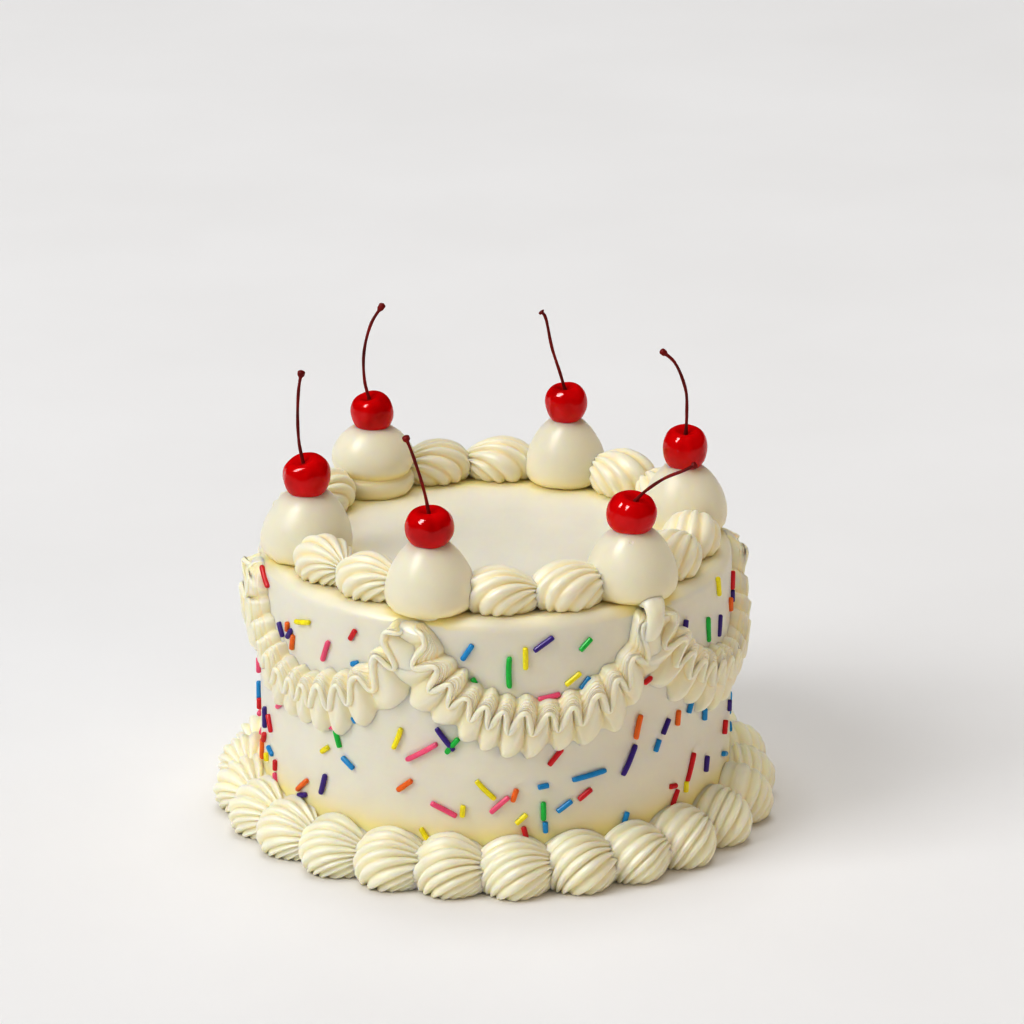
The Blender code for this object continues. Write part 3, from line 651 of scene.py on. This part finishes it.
def place_shell(border, number, form, radius, angle, height, twist, seed, material):
    """A shell in its border, turned along it, standing for the solid of the same number."""
    grid, painted_crease_glow = shell_grid(form, seed)
    c, s = math.cos(angle + twist), math.sin(angle + twist)
    x, y, z = grid[..., 0], grid[..., 1], grid[..., 2]
    turned = np.stack([x * c - y * s, x * s + y * c, z], axis=-1)
    turned += ring_place(radius, np.array(angle), height)
    made = solid_from(f"{border}_shell_icing_{number}", turned, material, painted_crease_glow)
    dress(made, "piping", f"{border}_shell_{number:02d}")


def make_top_shells(material):
    for i in range(PLACES):
        before = place_angle(i)
        after = place_angle((i + 1) % PLACES) + (2 * math.pi if i == PLACES - 1 else 0.0)
        middle = (before + after) / 2 - math.radians(0.6)
        for n, side in enumerate((-0.5, 0.5)):
            k = 2 * i + n
            angle = middle + side * math.radians(TOP_SHELL_STEP_DEG)
            twist = 0.10 * math.sin(3.1 * k)
            height = CAKE_HEIGHT - 0.0002
            place_shell("top", k + 1, TOP_SHELL, TOP_SHELL_RADIUS, angle, height, twist, 300 + k, material)


def make_foot_shells(material):
    for n in range(FOOT_SHELLS):
        angle = math.radians(FOOT_SHELL_FIRST_DEG + 360 / FOOT_SHELLS * n + 0.5 * math.sin(1.7 * n))
        twist = 0.05 * math.sin(2.3 * n)
        place_shell("foot", n + 1, FOOT_SHELL, FOOT_SHELL_RADIUS, angle, 0.0, twist, 400 + n, material)


# ruffled swags
def lifted(run, share):
    """Unit directions up from a swag: partly square to it, more so where it is steep, and the rest plumb."""
    share = share + 0.35 * run[:, 1] ** 2
    up = np.stack([-share * run[:, 1], share * run[:, 0] + 1 - share], axis=-1)
    return up / np.linalg.norm(up, axis=1, keepdims=True)


def soften(rows):
    """Each row of points, slightly rounded off along its length."""
    for _ in range(3):
        middle = 0.25 * rows[:, :-2] + 0.5 * rows[:, 1:-1] + 0.25 * rows[:, 2:]
        rows = np.concatenate([rows[:, :1], middle, rows[:, -1:]], axis=1)
    return rows


def petal(phase, t):
    """How full a swag's tongues are, 0 to 1, a share t of the way down.

    They are creased under the cord's high points, and lean a little on their way down.
    """
    turn = phase - 0.22 * (1 - t) - 0.03
    return np.abs(np.sin(math.pi * (turn - 0.05 * (1 - np.cos(2 * math.pi * turn))))) ** 0.8


def make_swag(i, material):
    """A ruffle piped to and fro: ridged arches, a smooth cord zigzagging under them, and tongues below it.

    Lengths here are in mm. The cord is highest at whole numbers of phase. The arches crease halfway between.
    """
    draw = random.Random(90 + i)
    count = SWAG_WAVES * 22 + 1
    x, y, dx, dy = swag_line(swag_middle(i), count)
    share = np.linspace(0, 1, count)
    fullness = np.sin(math.pi * share) ** 0.4
    ends = np.sqrt(np.clip(1 - (1 - np.clip(np.minimum(share, 1 - share) / 0.030, 0, 1)) ** 2, 0, 1))
    turn = (x - x[0]) / (x[-1] - x[0])
    phase = SWAG_WAVES * (0.42 * (turn + 0.11 * np.sin(math.pi * turn)) + 0.58 * share) + 0.5
    phase += 0.07 * np.sin(2 * math.pi * (2.3 * share + draw.random()))
    phase += 0.05 * np.sin(2 * math.pi * (5.1 * share + draw.random()))
    uneven = 1 + 0.08 * np.sin(2 * math.pi * (3.7 * share + draw.random()))
    uneven += 0.05 * np.sin(2 * math.pi * (7.9 * share + draw.random()))
    size = (0.80 + 0.20 * fullness) * uneven
    crest = np.sqrt((np.cos(math.pi * phase) ** 2 + 0.02) / 1.02)
    cycle = 2 * math.pi * phase
    wave = np.cos(cycle) - 0.15 * np.cos(2 * cycle) - 0.07 * np.cos(3 * cycle)

    # the cord's route and its two edges, which lie square to it; then the swag's upper and lower edges
    line = np.stack([x, y], axis=-1) * 1000
    run = np.stack([dx, dy], axis=-1)
    up = lifted(run, 0.35)
    fan = lifted(run, 0.62)
    cord = CORD["rise"] * size * wave
    lean = 0.165 * cord[:, None] * run
    narrowed = (0.25 + 0.75 * ends)[:, None]
    route = line + narrowed * (cord[:, None] * up + lean)
    step = np.gradient(route, axis=0)
    step /= np.linalg.norm(step, axis=1, keepdims=True)
    square = np.stack([-step[:, 1], step[:, 0]], axis=-1) * narrowed * (CORD["half"] * size)[:, None]
    broad_start = 0.25 * np.exp(-(((turn - 0.12) / 0.16) ** 2))
    slim_end = 0.42 * np.exp(-(((1.04 - turn) / 0.13) ** 2))
    top = size * (SWAG_EDGES["top"] + SWAG_EDGES["top_wave"] * (2 * crest**0.7 - 1))
    top *= (0.62 + 0.38 * fullness) * (1 + broad_start - slim_end)
    hang = 1 - 2 * np.abs(np.sin(math.pi * phase)) ** 0.9
    foot = size * (SWAG_EDGES["foot"] - SWAG_EDGES["foot_wave"] * hang)
    ahead = lean + 0.2 * (top - cord)[:, None] * run
    top_edge = line + narrowed * (top[:, None] * fan + ahead)
    low_edge = line + narrowed * (lean - foot[:, None] * fan)

    # rows from the upper edge over the arches, the cord and the tongues to the lower edge
    arches = ARCHES["crease"] + (ARCHES["crest"] - ARCHES["crease"]) * crest**0.42
    fullest = TONGUES["crest"] - TONGUES["crease"]
    crown = CORD["valley"] + (CORD["peak"] - CORD["valley"]) * crest
    # painted crease glow, warm light painted into the colour: in the creases between arches and the grooves
    # between their ridges, along the cord's edges, and between the tongues and just under the cord
    place, proud, painted_crease_glow = [], [], []
    for t in np.sin(np.linspace(math.pi / 2, 0, 50)):
        round_ridge = abs(math.sin(ARCHES["ridges"] * math.pi * t)) ** 0.7
        place.append((route + square) * (1 - t) + top_edge * t)
        cut = ARCHES["ridge"] * (1 - round_ridge) * min(1, (1 - t) / 0.15) * (0.5 + 0.5 * crest)
        proud.append(arches * math.sqrt(1 - t**3) - cut)
        painted_crease_glow.append(0.55 * (1 - crest) ** 1.3 + 0.35 * (1 - round_ridge) + 0 * t)
    tongues = TONGUES["crease"] + fullest * petal(phase, 0)
    for a in np.sin(np.linspace(math.pi / 2, -math.pi / 2, 17)):
        base = arches * (1 + a) / 2 + tongues * (1 - a) / 2
        place.append(route + a * square)
        proud.append(base + (crown - base) * math.sqrt(1 - a * a))
        painted_crease_glow.append(0 * crest + 0.4 * abs(a) ** 6)
    for t in np.sin(np.linspace(0, math.pi / 2, 32)):
        full = petal(phase, t)
        place.append((route - square) * (1 - t) + low_edge * t)
        proud.append((TONGUES["crease"] + fullest * full) * (1 - 0.12 * t) * math.sqrt(1 - t**4))
        painted_crease_glow.append(0.60 * (1 - full) ** 1.2 + 0.4 * math.exp(-t / 0.06))
    place, painted_crease_glow = soften(np.array(place)), np.clip(painted_crease_glow, 0, 1)
    proud = soften(np.array(proud)[..., None])[..., 0] * ends
    proud *= (0.74 + 0.26 * fullness) * (1 + 0.4 * (uneven - 1))

    high = place[..., 1] / 1000
    over = np.clip((high - (CAKE_HEIGHT - TOP_EDGE_RADIUS)) / TOP_EDGE_RADIUS, 0, 1.3)
    radius = CAKE_RADIUS - 0.0004 + np.maximum(proud, 0) / 1000 - 0.0016 * over**2
    grid = ring_place(radius, place[..., 0] / 1000 / CAKE_RADIUS, high)
    grid = grid + 0.00016 * np.stack([ripple(grid, 0.009, 500 + i + k) for k in range(3)], axis=-1)
    made = solid_from(f"swag_icing_{i + 1}", np.transpose(grid, (1, 0, 2)), material, painted_crease_glow.T)
    dress(made, "piping", f"swag_{i + 1:02d}")


def make_curl(i, material):
    """The rounded end of a swag, laid down over the start of the next one and over the cake's edge."""
    angle = swag_middle(i) + math.radians(SWAG_HALF_ANGLE_DEG + CURL_SHIFT_DEG)
    line = smooth_line(CURL_ROUTE, 48)
    share = np.linspace(0, 1, len(line))
    closing = np.sqrt(np.clip(1 - np.clip((np.abs(share - 0.5) - 0.36) / 0.14, 0, 1) ** 2, 0, 1))
    wide = (4.9 - 2.2 * share) * closing
    thick = (2.7 - 0.9 * share) * closing
    run = np.gradient(line[:, [0, 2]], axis=0)
    run /= np.linalg.norm(run, axis=1, keepdims=True)
    around = np.linspace(0, 2 * math.pi, 64, endpoint=False)
    ridges = 0.45 * closing[:, None] * np.clip(np.cos(around), 0, 1) * np.abs(np.sin(7 * around)) ** 0.7
    out = thick[:, None] * np.sin(around) + ridges * np.sin(around)
    side = line[:, 1:2] + wide[:, None] * np.cos(around) + ridges * np.cos(around)
    radius = line[:, :1] - run[:, 1:2] * out
    height = line[:, 2:] + run[:, :1] * out
    grid = ring_place(radius / 1000, angle + side / radius, height / 1000)
    grid = grid + 0.00015 * np.stack([ripple(grid, 0.006, 700 + i + k) for k in range(3)], axis=-1)
    dress(solid_from(f"swag_curl_{i + 1}", grid, material), "piping", f"swag_{i + 1:02d}")


# the studio
def add_light(name, direction, distance, size, power, colour):
    """A soft box that looks at the cake. Only the shine is mirrored in it, and that one doesn't light it."""
    lamp = bpy.data.lights.new(name, "AREA")
    lamp.shape = "RECTANGLE"
    lamp.size, lamp.size_y = size
    lamp.energy = power
    lamp.color = colour
    light = bpy.data.objects.new(name, lamp)
    bpy.context.scene.collection.objects.link(light)
    light.location = Vector(direction).normalized() * distance
    light.rotation_euler = (-light.location).to_track_quat("-Z", "Y").to_euler()
    light.visible_glossy = name == "shine"
    light.visible_diffuse = name != "shine"


def make_studio():
    scene = bpy.context.scene
    camera = bpy.data.cameras.new("camera")
    camera.lens = CAMERA_LENS
    camera.sensor_width = 36
    camera.clip_end = 20
    holder = bpy.data.objects.new("camera", camera)
    scene.collection.objects.link(holder)
    holder.location = CAMERA_PLACE
    holder.rotation_euler = (math.radians(CAMERA_TILT_DEG), 0, 0)
    scene.camera = holder
    scene.view_settings.view_transform = "Standard"
    scene.view_settings.gamma = 0.8

    world = bpy.data.worlds.new("studio")
    world.use_nodes = True
    background = world.node_tree.nodes["Background"]
    background.inputs["Color"].default_value = WORLD_COLOUR
    background.inputs["Strength"].default_value = WORLD_STRENGTH
    world.cycles_visibility.glossy = False
    scene.world = world
    for name, values in LIGHTS.items():
        add_light(name, *values)

    material, nodes, links, shader = new_material("floor")
    paper = noise_node(nodes, links, 6, 3)
    stops = ((0.35, (0.850, 0.846, 0.848)), (0.65, (0.870, 0.867, 0.871)))
    links.new(ramp_node(nodes, links, paper, stops), shader.inputs["Base Color"])
    shader.inputs["Roughness"].default_value = 0.85
    shader.inputs["Specular IOR Level"].default_value = 0.2
    mesh = bpy.data.meshes.new("floor")
    mesh.from_pydata([(-6, -6, 0), (6, -6, 0), (6, 6, 0), (-6, 6, 0)], [], [(0, 1, 2, 3)])
    mesh.materials.append(material)
    floor = bpy.data.objects.new("floor", mesh)
    scene.collection.objects.link(floor)
    floor.location.z = -0.0002


make_studio()
smooth_icing = icing_material("smooth_icing", spread=TOOL_MARKS)
piped_icing = icing_material("piped_icing")
# the same buttercream, painted lighter on the foot shells: painted light
foot_icing_painted_lighter = icing_material("foot_icing_painted_lighter")
dollop_icing = icing_material("dollop_icing", bubbles=True)
make_cake(smooth_icing)
make_sprinkles()
cherry_skin = cherry_material()
stalk = stem_material()
for place in range(PLACES):
    make_dollop(place, dollop_icing)
    make_cherry(place, cherry_skin, stalk)
    make_swag(place, piped_icing)
make_curl(CURL_PLACE, piped_icing)
make_dab(dollop_icing)
make_top_shells(piped_icing)
make_foot_shells(foot_icing_painted_lighter)
